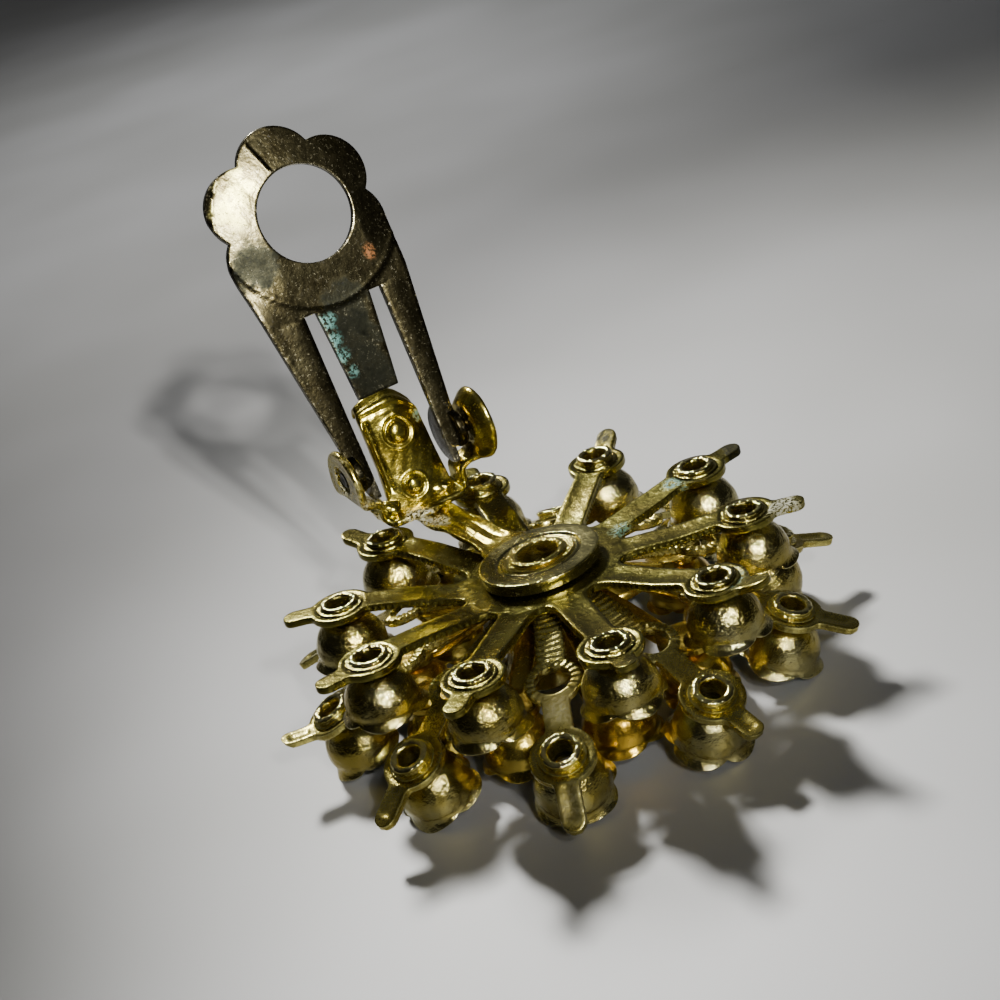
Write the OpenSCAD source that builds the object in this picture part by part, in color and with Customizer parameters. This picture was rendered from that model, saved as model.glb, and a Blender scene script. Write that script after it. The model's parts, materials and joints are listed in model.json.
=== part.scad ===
// Clip-on cluster earring, lying face down with its clip open.
// Z = 0 is the surface it lies on, and the hub's axis is the Z axis.

/* [Back star] */
// Arms on each star
arm_count = 10; // [8:1:12]
// Turn of the back star's first arm, degrees
back_turn = -7; // [-18:1:18]
// Radius of the ring of seats on the back star
back_seat_r = 10.6; // [10:0.1:11]
// Radius at the ends of the back star's tabs
back_tab_r = 13.6; // [13:0.1:14]
// Radius of the back star's centre disc
back_hub_r = 4.3; // [3.8:0.1:4.6]
// Drop of the centre disc below the back star's seats
web_drop = 0.55; // [0.4:0.05:0.6]
// Width of a bar at the seat
bar_w = 1.5; // [1.2:0.1:1.6]
// Width of a bar at the centre disc
bar_root_w = 1.8; // [1.6:0.1:2.1]

/* [Middle star] */
// Radius of the ring of seats on the middle star
mid_seat_r = 12.4; // [12.2:0.1:12.6]
// Drop of those seats below the back star
mid_seat_drop = 3.85; // [3.7:0.05:3.9]
// Radius at which the bars bend down, just outside the open eyes
mid_knee_r = 9; // [8.8:0.1:9.2]
// Drop of the bars there below the back star
mid_knee_drop = 2.38; // [2.3:0.02:2.5]
// Outward lean of those seats, degrees
mid_lean = 22; // [20:1:24]
// Radius at the ends of the middle star's tabs
mid_tab_r = 15.6; // [15:0.1:16]
// Width of a bar on the middle star
mid_bar_w = 1.35; // [1.2:0.05:1.4]
// Radius of the ring of open eyes
eye_r = 8.3; // [8:0.1:8.6]
// Outer radius of one open eye
eye_out_r = 1.37; // [1.2:0.01:1.5]
// Hole radius of one open eye
eye_hole_r = 0.85; // [0.6:0.05:0.9]

/* [Front star] */
// Radius of the ring of seats on the front star
front_seat_r = 8; // [7.9:0.05:8.1]
// Drop of those seats below the back star
front_seat_drop = 3.55; // [3.5:0.01:3.6]

/* [Sheet and seats] */
// Thickness of the star sheet
sheet = 0.4; // [0.35:0.05:0.45]
// Radius of a seat disc
seat_r = 1.6; // [1.5:0.05:1.7]
// Hole radius in a seat
seat_hole_r = 0.8; // [0.79:0.01:0.82]
// Width of a tab
tab_w = 1.15; // [0.9:0.05:1.4]
// Gap between stacked sheets
lay_gap = 0.05; // [0.03:0.01:0.08]

/* [Stone cups] */
// Outer radius of a cup's dome
dome_r = 1.9; // [1.85:0.05:1.95]
// Depth of the dome's centre below the seat
dome_depth = 2.4; // [2.35:0.05:2.45]
// Depth of the petal tips below the seat
petal_depth = 3.05; // [3:0.05:3.1]
// Radius at the petal tips
petal_r = 2.2; // [2.1:0.05:2.25]
// Wall of a cup
cup_wall = 0.22; // [0.18:0.01:0.24]
// Bore of the hollow rivet
rivet_bore_r = 0.58; // [0.5:0.01:0.6]
// Outside radius of the hollow rivet
rivet_r = 0.76; // [0.74:0.01:0.77]
// Girdle radius of a stone
stone_r = 1.64; // [1.5:0.01:1.66]

/* [Hub] */
// Bore of the hub rivet
hub_bore_r = 1.05; // [1:0.01:1.1]
// Outside radius of the hub rivet
hub_rivet_r = 1.3; // [1.28:0.01:1.32]
// Hole radius in the sheets at the hub
hub_hole_r = 1.38; // [1.36:0.01:1.4]
// Radius of the bracket's cap washer
washer_r = 3.2; // [3:0.05:3.4]
// Height of the cap washer
washer_h = 0.8; // [0.75:0.05:0.85]
// Dome radius of the centre cup
centre_dome_r = 3; // [2.8:0.1:3]

/* [Clip] */
// Distance of the clip from the hub's axis
clip_r = 10.8; // [10.6:0.1:11]
// Direction of the clip from the hub, degrees
clip_az = 119.5; // [118:0.5:121]
// Direction that the clip's back faces, degrees
clip_face_az = 112.5; // [110:0.5:116]
// Height of the hinge above the back star
pivot_h = 3.8; // [3.6:0.1:4]
// Outward lean of the open paddle, degrees
open_lean = 17; // [12:1:20]
// Half distance over the bracket's ears
ear_out = 4.15; // [3.9:0.01:4.2]
// Inner face of an ear
ear_in = 3.55; // [3.5:0.01:3.6]
// Radius of an ear
ear_r = 1.95; // [1.7:0.05:2]
// Backward lean of the central strap, degrees
strap_lean = 15; // [8:1:17]
// Half width of the central strap at its foot
strap_half = 1.9; // [1.6:0.05:1.95]
// Radius of a hinge pin
pin_r = 0.45; // [0.4:0.01:0.5]
// Radial clearance of a hinge pin
pin_clear = 0.05; // [0.03:0.01:0.08]

/* [Paddle] */
// Distance from the hinge to the centre of the round hole
head_h = 13.7; // [13:0.1:14]
// Outer side of a leg at the hinge
leg_out = 3.4; // [3.3:0.05:3.45]
// Inner side of a leg
leg_in = 2.3; // [2.1:0.05:2.4]
// Radius of the lug bent back from each leg round the hinge
lug_r = 1.7; // [1.6:0.1:1.8]
// Radius of the round hole
pad_hole_r = 2.6; // [2.4:0.05:2.7]
// Radius of one lobe
lobe_r = 2.14; // [2:0.02:2.2]
// Distance of a lobe's centre from the hole's centre
lobe_off = 2.81; // [2.7:0.01:2.9]
// Thickness of the paddle
paddle_t = 0.45; // [0.4:0.05:0.5]
// Lower end of the spring tongue
tongue_h = 3.5; // [3.4:0.05:3.8]
// Sideways offset of the scalloped edge from the hole
head_shift = -0.35; // [-0.5:0.05:0]

/* [Hidden] */
$fn = 64;
step_az = 360 / arm_count;
mid_turn = back_turn - step_az / 2;
// Height of the back star's top face, so that the middle star's petals just touch Z = 0
star_z = mid_seat_drop + petal_depth * cos(mid_lean) + petal_r * sin(mid_lean);
// Top faces of the stacked centre discs, below the back star's seats
mid_top = -web_drop - sheet - lay_gap;
front_top = mid_top - sheet - lay_gap;
// Foot and top of the cap washer
washer_foot = lay_gap - web_drop;
washer_top = washer_foot + washer_h;
rim_minor = 0.18;
plate_t = 0.38;
strap_t = 0.42;
curl_r = 0.62;
strap_h = pivot_h + 1.9;
strap_shift = 0.15;

function two_digits(n) = n < 10 ? str("0", n) : str(n);
cup_names = [for (i = [1:2 * arm_count]) str("cup_", two_digits(i))];
stone_names = [for (i = [1:3 * arm_count]) str("stone_", two_digits(i))];

// A point of a circle in the profile plane, with the angle measured from the axis
function arc_point(r, z0, a) = [r * sin(a), z0 + r * cos(a)];

// Outline of one star arm seen along the hub's axis, along +X
module arm_outline(seat_at, tab_to, w) {
    polygon([
        [0, -bar_root_w / 2],
        [seat_at - 1, -w / 2],
        [seat_at - 1, w / 2],
        [0, bar_root_w / 2]
    ]);
    translate([seat_at, 0]) circle(r = seat_r);
    translate([seat_at, -tab_w / 2]) square([tab_to - seat_at - tab_w / 2, tab_w]);
    translate([tab_to - tab_w / 2, 0]) circle(r = tab_w / 2);
}

// Side view of a bent strip, radius across and height up, from the points of its top face
module strip_side(top) {
    n = len(top);
    under = [for (k = [n - 1:-1:0]) [top[k][0], top[k][1] - sheet * 1.05]];
    polygon(concat(top, under));
}

// Side view of one arm of the back star, which rises from the centre disc to its seat
module back_side() {
    strip_side([
        [1, -web_drop],
        [back_hub_r, -web_drop],
        [back_seat_r - seat_r, 0],
        [back_tab_r, 0]
    ]);
}

// Star nearest the clip, its seats with their top faces at star_z
module star_back() {
    color("darkkhaki")
    translate([0, 0, star_z])
    difference() {
        union() {
            translate([0, 0, -web_drop - sheet]) cylinder(h = sheet, r = back_hub_r);
            for (i = [0:arm_count - 1])
                rotate(back_turn + i * step_az)
                intersection() {
                    translate([0, 0, -2]) linear_extrude(3) arm_outline(back_seat_r, back_tab_r, bar_w);
                    translate([0, 3, 0]) rotate([90, 0, 0]) linear_extrude(6) back_side();
                }
        }
        translate([0, 0, -3]) cylinder(h = 3, r = hub_hole_r);
        for (i = [0:arm_count - 1])
            rotate(back_turn + i * step_az)
            translate([back_seat_r, 0, -1])
            cylinder(h = 2, r = seat_hole_r);
    }
}

// Side view of one drooping arm of the middle star
module mid_side() {
    seat_in = mid_seat_r - seat_r;
    seat_out = mid_seat_r + seat_r;
    rise = tan(mid_lean);
    strip_side([
        [1, mid_top],
        [2.4, mid_top],
        [mid_knee_r, -mid_knee_drop],
        [seat_in, -mid_seat_drop + seat_r * rise],
        [seat_out, -mid_seat_drop - seat_r * rise],
        [mid_tab_r, -mid_seat_drop - seat_r * rise - (mid_tab_r - seat_out) * 0.56]
    ]);
}

// One drooping arm along +X, with its open eye and its seat hole
module mid_arm() {
    difference() {
        intersection() {
            translate([0, 0, -mid_seat_drop - 4])
            linear_extrude(8)
            difference() {
                union() {
                    arm_outline(mid_seat_r, mid_tab_r, mid_bar_w);
                    translate([eye_r, 0]) circle(r = eye_out_r);
                }
                translate([eye_r, 0]) circle(r = eye_hole_r);
            }
            translate([0, 3, 0]) rotate([90, 0, 0]) linear_extrude(6) mid_side();
        }
        translate([mid_seat_r, 0, -mid_seat_drop])
        rotate([0, mid_lean, 0])
        cylinder(h = 4, r = seat_hole_r, center = true);
    }
}

// Star under the back one, its arms drooping towards the surface
module star_middle() {
    color("goldenrod")
    translate([0, 0, star_z])
    difference() {
        union() {
            translate([0, 0, mid_top - sheet]) cylinder(h = sheet, r = 2.9);
            for (i = [0:arm_count - 1])
                rotate(mid_turn + i * step_az) mid_arm();
        }
        translate([0, 0, -3]) cylinder(h = 3, r = hub_hole_r);
    }
}

// Short star at the front with plain cups soldered under its seats
module star_front() {
    color("goldenrod")
    translate([0, 0, star_z])
    difference() {
        union() {
            translate([0, 0, front_top - sheet]) cylinder(h = sheet, r = 2.6);
            for (i = [0:arm_count - 1])
                rotate(back_turn + i * step_az) {
                    intersection() {
                        translate([0, 0, -front_seat_drop - 1])
                        linear_extrude(front_seat_drop + 1) {
                            translate([1.6, -0.6]) square([front_seat_r - 1.6, 1.2]);
                            translate([front_seat_r, 0]) circle(r = 1.5);
                        }
                        translate([0, 3, 0])
                        rotate([90, 0, 0])
                        linear_extrude(6)
                        strip_side([
                            [1.6, front_top],
                            [2.4, front_top],
                            [front_seat_r - 1.5, -front_seat_drop],
                            [front_seat_r + 1.5, -front_seat_drop]
                        ]);
                    }
                    translate([front_seat_r, 0, -front_seat_drop]) bell(-0.1);
                }
        }
        translate([0, 0, -3]) cylinder(h = 3, r = hub_hole_r);
    }
}

// Half profile of a bell-shaped cup on a hollow rivet; the rivet's top is at z_top
module cup_profile(bore, tube, dome, depth, tip_depth, tip_r, wall, z_top) {
    a_out = asin(tube / dome);
    a_in = asin(bore / (dome - wall));
    steps = 7;
    outer = [for (k = [0:steps]) arc_point(dome, -depth, a_out + (90 - a_out) * k / steps)];
    inner = [for (k = [steps:-1:0]) arc_point(dome - wall, -depth, a_in + (90 - a_in) * k / steps)];
    polygon(concat(
        [[bore, z_top], [tube, z_top]],
        outer,
        [[dome + 0.03, -depth - 0.2], [tip_r, -tip_depth], [tip_r - wall, -tip_depth],
         [dome - wall + 0.03, -depth - 0.25]],
        inner));
}

// A four-petalled bell and its tube, which rises to z_top, under a seat at Z = 0
module bell(z_top) {
    notch_r = 0.5;
    difference() {
        rotate_extrude()
        cup_profile(rivet_bore_r, rivet_r, dome_r, dome_depth, petal_depth, petal_r, cup_wall, z_top);
        for (k = [0:3])
            rotate(45 + 90 * k)
            translate([1, 0, -petal_depth])
            rotate([0, 90, 0])
            cylinder(h = 2, r = notch_r);
    }
}

// One stone cup, its hollow rivet rolled over on the seat
module cup() {
    color("silver") {
        bell(0.2);
        translate([0, 0, rim_minor + 0.02])
        rotate_extrude()
        translate([rivet_bore_r + rim_minor, 0]) circle(r = rim_minor);
    }
}

// Round cut stone, table down: girdle radius r, girdle top at Z = 0
module cut_stone(r, culet_h, band, crown_h) {
    table_r = 0.58 * r;
    ring = function (rad, z, n, turn) [for (k = [0:n - 1])
        [rad * cos(turn + 360 * k / n), rad * sin(turn + 360 * k / n), z]];
    points = concat(
        [[0, 0, culet_h]],
        ring(r, 0, 16, 0),
        ring(r, -band, 16, 0),
        ring(table_r, -band - crown_h, 8, 0));
    top = 1;
    low = 17;
    tab = 33;
    faces = concat(
        [for (k = [0:15]) [0, top + (k + 1) % 16, top + k]],
        [for (k = [0:15]) [top + k, top + (k + 1) % 16, low + (k + 1) % 16, low + k]],
        [for (k = [0:7]) [tab + k, low + 2 * k, low + 2 * k + 1]],
        [for (k = [0:7]) [tab + k, low + 2 * k + 1, tab + (k + 1) % 8]],
        [for (k = [0:7]) [tab + (k + 1) % 8, low + 2 * k + 1, low + (2 * k + 2) % 16]],
        [[for (k = [0:7]) tab + k]]);
    color("lightcyan") polyhedron(points, faces);
}

// The stone of one cup, in the cup's own frame
module cup_stone() {
    translate([0, 0, -petal_depth + 0.4]) cut_stone(stone_r, 1.15, 0.1, 0.6);
}

// Moves a child from a cup's own frame to seat number i: back star, middle star, front star
module at_seat(i) {
    ring = floor((i - 1) / arm_count);
    turn = ring == 1 ? mid_turn : back_turn;
    r = [back_seat_r, mid_seat_r, front_seat_r][ring];
    drop = [0, mid_seat_drop, front_seat_drop][ring];
    lean = ring == 1 ? mid_lean : 0;
    rotate(turn + (i - 1) * step_az)
    translate([r, 0, star_z - drop])
    rotate([0, lean, 0])
    children();
}

// Large cup at the front, whose hollow rivet holds the three stars and the washer
module centre_cup() {
    depth = 4.85;
    tip_depth = 5.75;
    color("silver")
    translate([0, 0, star_z])
    difference() {
        union() {
            rotate_extrude()
            cup_profile(hub_bore_r, hub_rivet_r, centre_dome_r, depth, tip_depth, 3.6, 0.26, washer_top + 0.1);
            translate([0, 0, washer_top + 0.02])
            rotate_extrude() {
                translate([hub_bore_r, 0]) square([0.75, 0.22]);
                translate([1.9, 0.2]) circle(r = 0.2);
                translate([hub_bore_r + 0.17, 0.2]) circle(r = 0.16);
            }
        }
        for (k = [0:5])
            rotate(30 + 60 * k)
            translate([1.5, 0, -tip_depth])
            rotate([0, 90, 0])
            cylinder(h = 3, r = 0.6);
    }
}

// Stone of the centre cup
module centre_stone() {
    translate([0, 0, star_z - 5.3]) cut_stone(2.85, 2, 0.15, 0.9);
}

// Moves a child to the clip: X along the hinge, +Y to the clip's back, Z = 0 on the star
module at_clip() {
    translate([clip_r * cos(clip_az), clip_r * sin(clip_az), star_z])
    rotate(clip_face_az - 90)
    children();
}

// One flared side wall and ear, seen along Y, on the +X side
module ear_section() {
    polygon([
        [1.9, 0.42], [2.4, 0.42], [2.65, 0.7], [2.75, 1.5], [ear_out, 2.6], [ear_out, pivot_h + 2],
        [ear_in, pivot_h + 2], [ear_in, 2.75], [2.3, 1.75], [2.2, 0.84], [1.9, 0.84]
    ]);
}

// Outline of an ear and its neck, seen along X
module ear_outline() {
    translate([0, pivot_h]) circle(r = ear_r);
    translate([-0.8, 0.4]) square([1.6, pivot_h - 0.4]);
}

// Side view of the central strap with its curled top, from its foot: Y across, Z up
module strap_side() {
    translate([-strap_t / 2, 0]) square([strap_t, strap_h]);
    translate([curl_r - strap_t / 2, strap_h])
    difference() {
        circle(r = curl_r);
        circle(r = curl_r - strap_t);
        translate([-2, -4]) square([4, 4]);
    }
}

// Central strap, its foot at the origin: a plate with an arched top and two pressed dots
module strap() {
    half_up = strap_half - 0.15;
    intersection() {
        rotate([90, 0, 90]) translate([0, 0, -3]) linear_extrude(6) strap_side();
        translate([0, 3, 0])
        rotate([90, 0, 0])
        linear_extrude(6)
        polygon([
            [-strap_half, 0], [strap_half, 0], [half_up, 3], [half_up, strap_h - 0.5],
            [half_up - 0.5, strap_h + 0.35], [0.6, strap_h + 0.9], [-0.6, strap_h + 0.9],
            [0.5 - half_up, strap_h + 0.35], [-half_up, strap_h - 0.5], [-half_up, 3]
        ]);
    }
    for (dot = [[-0.05, strap_h - 1.3, 0.62], [-0.05, strap_h - 4.1, 0.5]])
        translate([dot[0], 0.1 - strap_t / 2, dot[1]])
        rotate([90, 0, 0])
        cylinder(h = 0.22, r = dot[2]);
}

// Half profile of the cap washer at the end of the bracket's strip
module washer_profile() {
    skirt = 0.35;
    edge = 0.08;
    polygon([
        [hub_hole_r, washer_top - plate_t],
        [washer_r - skirt, washer_top - plate_t],
        [washer_r - skirt, washer_foot],
        [washer_r, washer_foot],
        [washer_r, washer_top - edge],
        [washer_r - edge, washer_top],
        [hub_hole_r, washer_top]
    ]);
}

// Bracket: cap washer at the hub, strip, base, two ears and the curled strap
module clip_bracket() {
    strip_w = 2.2;
    color("gold")
    union() {
        translate([0, 0, star_z]) {
            rotate_extrude() washer_profile();
            rotate(clip_az)
            translate([washer_r - 0.2, -strip_w / 2, washer_top - plate_t])
            cube([clip_r - washer_r + 0.2, strip_w, plate_t]);
        }
        at_clip() {
            translate([-strip_w / 2, -1.35, washer_top - plate_t]) cube([strip_w, 2.7, 0.52]);
            translate([-2.2, -1.35, 0.42]) cube([4.4, 2.7, 0.42]);
            for (side = [0, 1])
                mirror([side, 0, 0])
                difference() {
                    intersection() {
                        translate([0, 2, 0]) rotate([90, 0, 0]) linear_extrude(4) ear_section();
                        rotate([90, 0, 90]) linear_extrude(ear_out + 1) ear_outline();
                    }
                    translate([0, 0, pivot_h])
                    rotate([0, 90, 0])
                    cylinder(h = ear_out + 1, r = pin_r + pin_clear);
                }
            translate([strap_shift, 0.15, 0.55]) rotate([-strap_lean, 0, 0]) strap();
        }
    }
}

// Outline of the paddle: X along the hinge, Y away from it
module paddle_outline() {
    difference() {
        union() {
            translate([head_shift, head_h]) {
                circle(r = 3.4);
                for (a = [-120, -60, 0, 60, 120])
                    rotate(a) translate([0, lobe_off]) circle(r = lobe_r);
            }
            polygon([
                [head_shift - 4.5, 11.5], [head_shift - 4.3, 9.8], [-leg_out, 1.4], [-leg_out, -0.4],
                [leg_out, -0.4], [leg_out, 1.4], [4.2, 9.4], [4.2, 11.5]
            ]);
            for (side = [-1, 1])
                translate([side * (leg_in + leg_out) / 2, -0.4]) circle(r = (leg_out - leg_in) / 2);
        }
        translate([0, head_h]) circle(r = pad_hole_r);
        for (side = [0, 1])
            mirror([side, 0])
            polygon([
                [1.62, 8.7], [leg_in, 8.7], [leg_in, -1], [-0.1, -1],
                [-0.1, tongue_h], [1.2, tongue_h]
            ]);
    }
}

// Outline of a leg's lug, seen along X: a disc about the hinge, cut off at the leg's face
module lug_outline() {
    intersection() {
        circle(r = lug_r);
        translate([-paddle_t / 2, -lug_r]) square([lug_r + paddle_t / 2, 2 * lug_r]);
    }
}

// Lever with a scalloped head, a round hole, a spring tongue and two hinge lugs
module clip_paddle() {
    color("darkgoldenrod")
    at_clip()
    translate([0, 0, pivot_h])
    rotate([-open_lean, 0, 0]) {
        translate([0, paddle_t / 2, 0]) rotate([90, 0, 0]) linear_extrude(paddle_t) paddle_outline();
        for (side = [0, 1])
            mirror([side, 0, 0]) {
                translate([leg_in, 0, 0]) rotate([90, 0, 90]) linear_extrude(0.4) lug_outline();
                rotate([0, 90, 0]) {
                    translate([0, 0, 2.95]) cylinder(h = leg_out - 2.95, r = 1.05);
                    translate([0, 0, leg_in]) cylinder(h = ear_out - 0.08 - leg_in, r = pin_r);
                }
            }
    }
}

star_back();
star_middle();
star_front();
centre_cup();
centre_stone();
clip_bracket();
clip_paddle();
for (i = [1:2 * arm_count])
    at_seat(i) cup();
for (i = [1:3 * arm_count])
    at_seat(i) cup_stone();
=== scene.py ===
import json

import bmesh
import bpy
import numpy as np
from mathutils import Matrix, Vector
from numpy import arcsin, arctan2, clip, cos, exp, hypot, interp, linspace, pi, radians, sin, sqrt, stack, tan
from numpy import vstack, where


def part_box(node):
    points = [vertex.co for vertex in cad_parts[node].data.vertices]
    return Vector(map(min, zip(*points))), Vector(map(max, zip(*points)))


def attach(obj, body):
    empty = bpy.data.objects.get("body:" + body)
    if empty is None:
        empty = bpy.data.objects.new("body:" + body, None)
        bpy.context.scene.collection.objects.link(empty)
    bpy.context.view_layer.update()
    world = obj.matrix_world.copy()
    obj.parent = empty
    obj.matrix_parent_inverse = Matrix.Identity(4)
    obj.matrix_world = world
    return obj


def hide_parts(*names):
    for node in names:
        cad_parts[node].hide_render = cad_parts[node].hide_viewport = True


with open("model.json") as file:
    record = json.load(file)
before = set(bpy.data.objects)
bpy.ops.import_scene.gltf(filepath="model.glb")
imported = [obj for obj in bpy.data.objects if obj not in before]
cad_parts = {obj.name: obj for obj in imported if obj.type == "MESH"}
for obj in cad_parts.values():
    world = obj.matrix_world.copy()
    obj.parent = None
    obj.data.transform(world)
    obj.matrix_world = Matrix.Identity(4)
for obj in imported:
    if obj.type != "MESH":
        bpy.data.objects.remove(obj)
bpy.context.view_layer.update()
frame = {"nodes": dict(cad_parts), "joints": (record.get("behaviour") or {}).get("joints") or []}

# Sizes in millimetres; the part's frame is in metres
MM = 0.001
ARMS = 10
STEP = 2 * pi / ARMS
HALF_STEP = STEP / 2
BACK_TURN = radians(-7)
MID_TURN = BACK_TURN - HALF_STEP
STAR_Z = (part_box("cup_01")[1].z / MM) - 0.38
SHEET = 0.4
INSET = 0.06  # a sheet's flat patches end this far inside its outline
BEAD_PITCH = 0.34
WEB_DROP = 0.55
BACK = dict(web_r=4.3, seat_at=10.6, tab_to=13.6, bar=(0.86, 0.75), tab=0.57)
MID = dict(web_r=2.9, eye_at=8.3, seat_at=12.4, tab_to=15.6, neck=(0.68, 0.74), bar=0.66, tab=0.58)
FRONT = dict(web_r=2.6, seat_at=8.0, seat_r=1.5, bar=0.6)
MID_DROP, MID_LEAN = 3.85, radians(22)
KNEE_R, KNEE_DROP = 9.0, 2.38
FRONT_DROP = 3.55
SEAT_R, SEAT_HOLE = 1.6, 0.8
EYE_R, EYE_HOLE = 1.42, 0.9
# For each arm from the first: slope of its tab, up where it is above 0, and rise of its cup's eyelet
BACK_TAB_LIFT = (0.0, 0.02, 0.38, 0.06, 0.2, -0.03, 0.05, 0.0, 0.3, 0.33)
EYELET_RISE = (0.25, 0.27, 0.5, 0.55, 0.32, 0.26, 0.24, 0.26, 0.22, 0.27)
MID_TAB_LIFT = (0.2, 0.25, 0.1, 0.05, 0.1, 0.08, 0.55, 0.0, -0.28, 0.3)
HUB_HOLE = 1.38
WASHER_TOP = 0.3
hinge = frame["joints"][0]
PIVOT = np.array(hinge["pos_m"]) / MM
PIVOT_H = PIVOT[2] - STAR_Z
CLIP_AZ, CLIP_R = arctan2(PIVOT[1], PIVOT[0]), hypot(PIVOT[0], PIVOT[1])
PADDLE_LEAN, STRAP_LEAN = radians(17), radians(15)
STRAP_FOOT = (0.15, 0.15, 0.55)

# The clip's own directions, and the placing of points in its frame and in the paddle's
ACROSS = np.array(hinge["axis"])
OUTWARD = np.array([-ACROSS[1], ACROSS[0], 0.0])
UP = np.array([0, 0, 1.0])
CLIP = np.column_stack([ACROSS, OUTWARD, UP, [PIVOT[0], PIVOT[1], STAR_Z]])
PADDLE = np.column_stack([ACROSS, OUTWARD * sin(PADDLE_LEAN) + UP * cos(PADDLE_LEAN),
                          UP * sin(PADDLE_LEAN) - OUTWARD * cos(PADDLE_LEAN), PIVOT])
rng = np.random.default_rng(5)


# Arrays and placing

def ease(t):
    """Smooth step: 0 below 0, 1 above 1, 3t^2 - 2t^3 between."""
    t = clip(t, 0, 1)
    return t * t * (3 - 2 * t)


def bump_between(x, a, b, soft):
    """1 between a and b, falling smoothly to 0 over the length soft outside."""
    return ease((x - a) / soft + 1) * ease((b - x) / soft + 1)


def ridge(x, at, width):
    """A smooth ridge: exp(-((x - at) / width)^2)."""
    return exp(-((x - at) / width) ** 2)


def coords(*columns):
    """Numbers and arrays, spread to one shape, as the coordinates of points."""
    return stack(np.broadcast_arrays(*columns), -1)


def split(points):
    """The coordinates of points, an array each."""
    return np.moveaxis(points, -1, 0)


def circle(angle):
    """Points (cos, sin) of a circle of radius 1."""
    return coords(cos(angle), sin(angle))


def lengths(line):
    """Length along a line up to each of its points."""
    return np.cumsum(np.r_[0, np.linalg.norm(np.diff(line, axis=0), axis=1)])


def along(line, places, at):
    """Points at some places of a line whose own points lie at the given places."""
    return coords(*(interp(at, places, column) for column in line.T))


def resample(line, pitch):
    """The same line with its points evenly spaced."""
    length = lengths(line)
    return along(line, length, linspace(0, length[-1], int(length[-1] / pitch) + 2))


def normals_of(line, closed=False):
    """Unit normals to the left of a line."""
    tangent = np.roll(line, -1, 0) - np.roll(line, 1, 0) if closed else np.gradient(line, axis=0)
    tangent /= np.linalg.norm(tangent, axis=1, keepdims=True) + 1e-12
    return coords(-tangent[:, 1], tangent[:, 0])


def angles(count):
    """A column of equal steps round a circle."""
    return linspace(0, 2 * pi, count, endpoint=False)[:, None]


def lathe(r, z, around):
    """Radii and heights carried round the Z axis, as (r cos a, r sin a, z). They may differ from angle to
    angle."""
    a = angles(around)
    return coords(r * cos(a), r * sin(a), z)


def spin(points, angle):
    """Points turned about the Z axis: x cos - y sin, x sin + y cos."""
    x, y, z = split(points)
    return coords(cos(angle) * x - sin(angle) * y, sin(angle) * x + cos(angle) * y, z)


def placed(points, matrix):
    """Points through a 3x4 placing matrix."""
    return points @ matrix[:, :3].T + matrix[:, 3]


def on_hub(points):
    """Points set on the stack, whose centre sits slightly askew: z rises by 0.045 x - 0.035 y there, and
    by less and less from 3.6 to 7.6 mm out."""
    x, y, z = split(points)
    share = 1 - ease((hypot(x, y) - 3.6) / 4.0)
    return coords(x, y, z + (0.045 * x - 0.035 * y) * share + STAR_Z)


def seat_matrix(turn, r, drop, lean):
    """Placing of a seat's own frame: turned about the hub, moved out and down, leaned outward."""
    c, s = cos(turn), sin(turn)
    cl, sl = cos(lean), sin(lean)
    axes = np.array([[c * cl, -s, c * sl], [s * cl, c, s * sl], [-sl, 0, cl]])
    return np.column_stack([axes, [r * c, r * s, STAR_Z - drop]])


def put(name, data):
    """A new object of the scene."""
    thing = bpy.data.objects.new(name, data)
    bpy.context.scene.collection.objects.link(thing)
    return thing


class Shell:
    """Surfaces gathered into one mesh. Each point has a wear, 0 in a recess and 1 on an edge, and a tone,
    1 where a cup has the gold of its rivet and 0 on its paler bell."""

    def __init__(self):
        self.points, self.faces, self.wear, self.tone, self.count = [], [], [], [], 0

    def grid(self, points, wear=0.5, closed="", tone=0.0):
        """Adds a grid of rows x columns x 3. With r or c in closed its rows or columns meet again."""
        rows, cols = points.shape[:2]
        i, j = np.mgrid[:rows - ("r" not in closed), :cols - ("c" not in closed)]
        k, m = (i + 1) % rows, (j + 1) % cols
        quads = stack([i * cols + j, k * cols + j, k * cols + m, i * cols + m], -1).reshape(-1, 4)
        self.points.append(points.reshape(-1, 3))
        self.wear.append(np.broadcast_to(wear, (rows, cols)).ravel())
        self.tone.append(np.broadcast_to(tone, (rows, cols)).ravel())
        self.faces.append(quads + self.count)
        self.count += rows * cols

    def make(self, name, material, body, slot, node):
        """Makes the mesh: doubles merged, normals outward, smooth but for edges above 38 degrees."""
        mesh = bpy.data.meshes.new(name)
        mesh.from_pydata((np.concatenate(self.points) * MM).tolist(), [], np.concatenate(self.faces).tolist())
        for key, values in (("wear", self.wear), ("tone", self.tone)):
            layer = mesh.attributes.new(key, "FLOAT", "POINT")
            layer.data.foreach_set("value", np.concatenate(values).astype(np.float32))
        shape = bmesh.new()
        shape.from_mesh(mesh)
        bmesh.ops.remove_doubles(shape, verts=shape.verts, dist=2e-6)
        bmesh.ops.recalc_face_normals(shape, faces=shape.faces)
        shape.to_mesh(mesh)
        shape.free()
        mesh.shade_smooth()
        mesh.set_sharp_from_angle(angle=radians(38))
        mesh.materials.append(material)
        piece = put(name, mesh)
        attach(piece, body)
        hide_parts(node)


# Shader maths

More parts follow.
